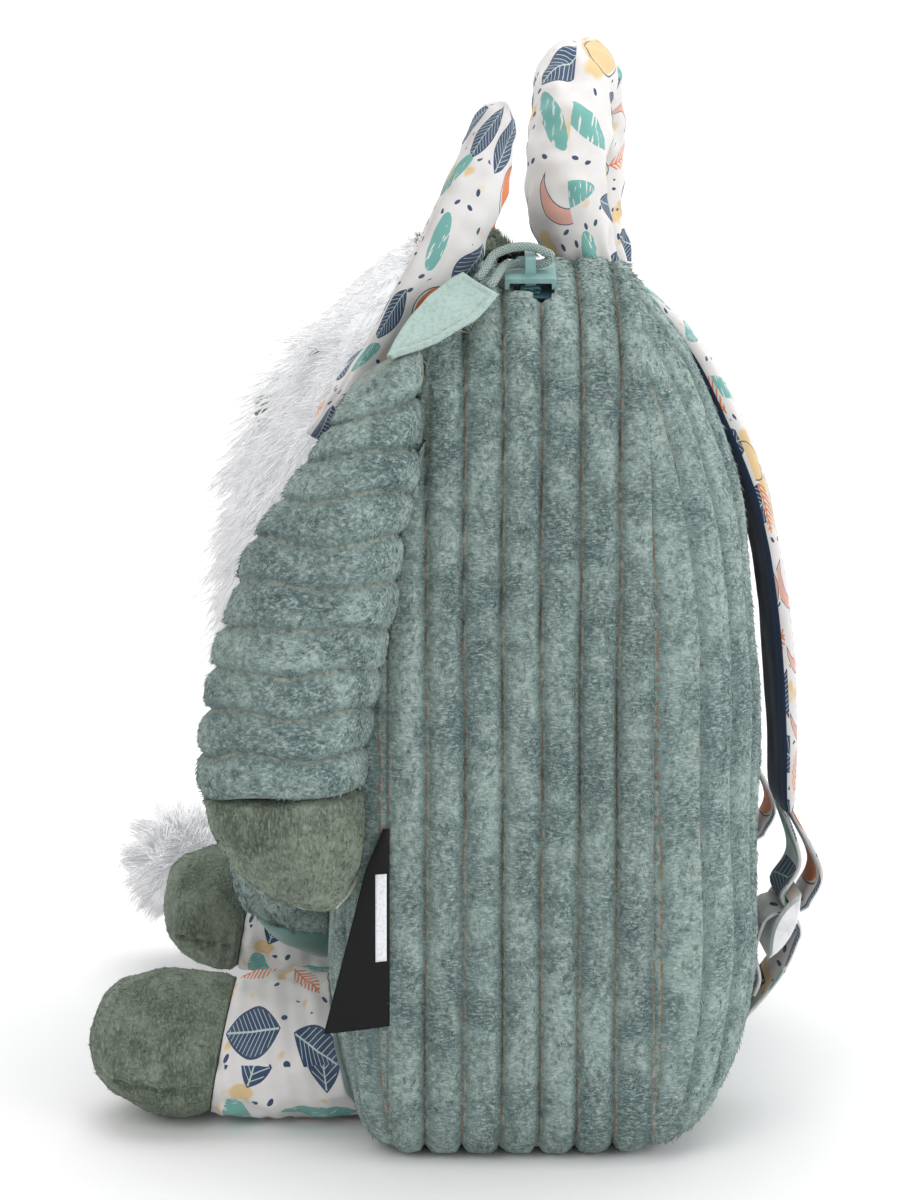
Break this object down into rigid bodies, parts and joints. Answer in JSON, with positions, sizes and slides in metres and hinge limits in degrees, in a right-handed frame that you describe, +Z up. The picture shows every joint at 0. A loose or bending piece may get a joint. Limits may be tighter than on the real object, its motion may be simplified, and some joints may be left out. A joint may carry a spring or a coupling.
{
  "type": "kids animal backpack",
  "caption": "Small ribbed plush backpack with a seated stuffed animal on its front, a zip over the top, a stuffed carrying loop and padded shoulder straps.",
  "frame": {"origin": "middle of the bag's flat base, on the surface it stands on", "axes": "+Z up; +Y towards the wearer's back panel and straps, so the animal faces -Y; +X is the side with the label tab and the zip slider"},
  "size_m": [0.243, 0.2365, 0.3292],
  "materials": {
    "plush": "ribbed plush pile",
    "olive_plush": "short plush pile",
    "fur": "long loose pile",
    "print": "woven cotton with a printed plant pattern",
    "smooth_teal": "smooth jersey",
    "mint": "woven cotton, raw edge",
    "moulded_teal": "moulded, satin",
    "zip_tape": "woven zip tape with a nylon coil",
    "white_plastic": "moulded, satin",
    "black_satin": "woven satin",
    "black_plastic": "polished"
  },
  "bodies": {
    "root": {"side_band": "plush", "back_panel": "plush", "front_panel": "plush", "zip_chain": "zip_tape", "zip_slider": "moulded_teal", "pull_cord": "mint", "pull_tab": "mint", "handle": "print", "label_tab": "black_satin", "head_face": "fur", "head_back": "olive_plush", "ear_near": "print", "ear_far": "print", "sleeve_near": "plush", "sleeve_far": "plush", "paw_near": "olive_plush", "paw_far": "olive_plush", "belly": "plush", "belly_base": "smooth_teal", "leg_near": "print", "leg_far": "print", "foot_near": "olive_plush", "foot_far": "olive_plush", "tail": "plush", "tail_tuft": "fur", "eye_near": "black_plastic", "eye_far": "black_plastic", "nose": "olive_plush", "strap_near": "print", "strap_far": "print", "strap_loop_near": "print", "strap_loop_far": "print", "webbing_near": "print", "webbing_far": "print", "adjuster_near": "white_plastic", "adjuster_far": "white_plastic"}
  },
  "joints": []
}
